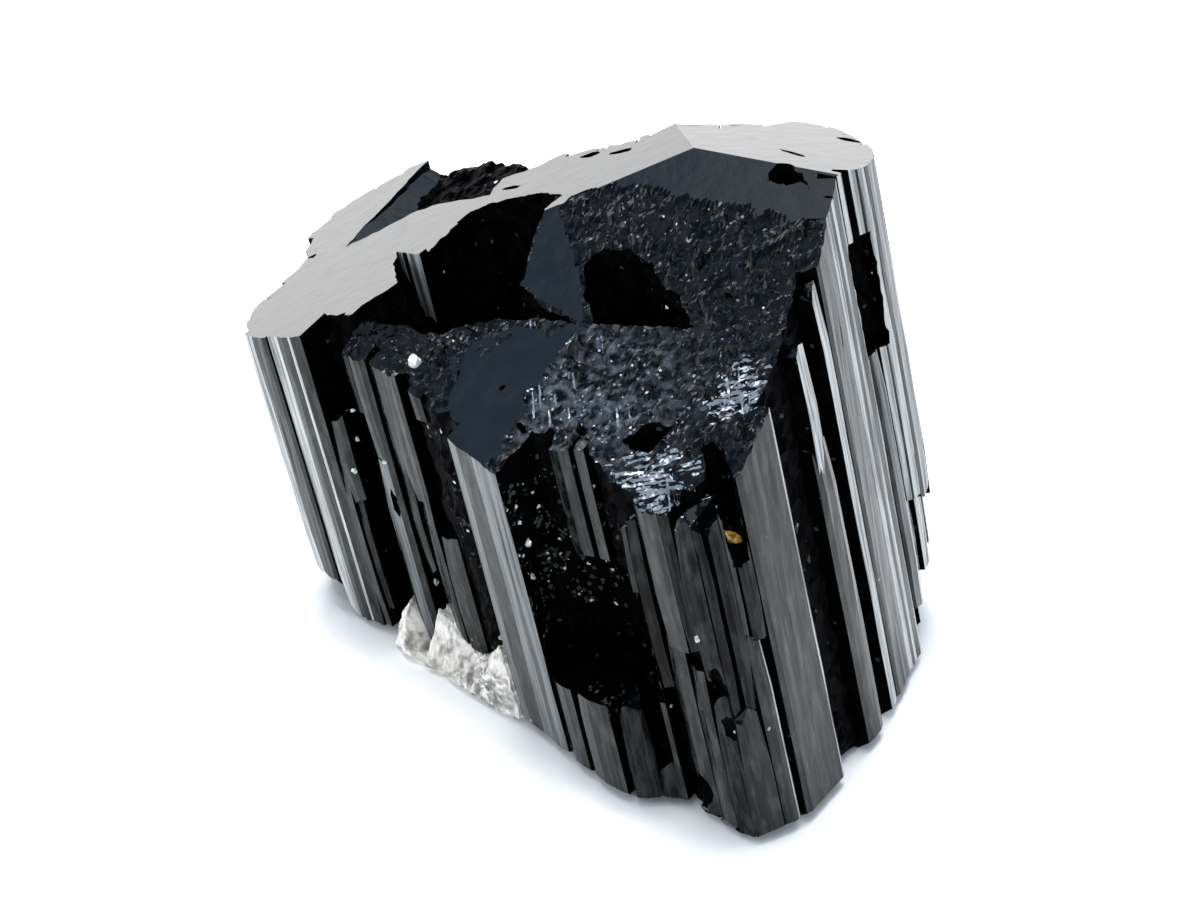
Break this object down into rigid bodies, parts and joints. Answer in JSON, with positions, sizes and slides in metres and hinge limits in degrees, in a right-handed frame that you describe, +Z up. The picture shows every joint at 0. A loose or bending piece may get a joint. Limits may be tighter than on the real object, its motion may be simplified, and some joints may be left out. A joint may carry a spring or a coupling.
{
  "type": "tourmaline crystal",
  "caption": "Stout black tourmaline crystal, a striated prism with a low three-sided tip, an etched ledge, open grooves and a wedge of white feldspar at its broken base.",
  "frame": {"origin": "centre of the bounding box in plan, at the ground that the broken base rests on", "axes": "+Z up, -Y towards the front corner of the crystal, +X to the right; the prism axis leans about 12 degrees from +Z towards -X"},
  "size_m": [0.051, 0.0488, 0.0407],
  "materials": {
    "black_tourmaline": "glassy black, polished faces and fine striations",
    "white_feldspar": "pale cream mineral, dull to pearly"
  },
  "bodies": {
    "root": {"tourmaline_crystal": "black_tourmaline", "feldspar_matrix": "white_feldspar"}
  },
  "joints": []
}
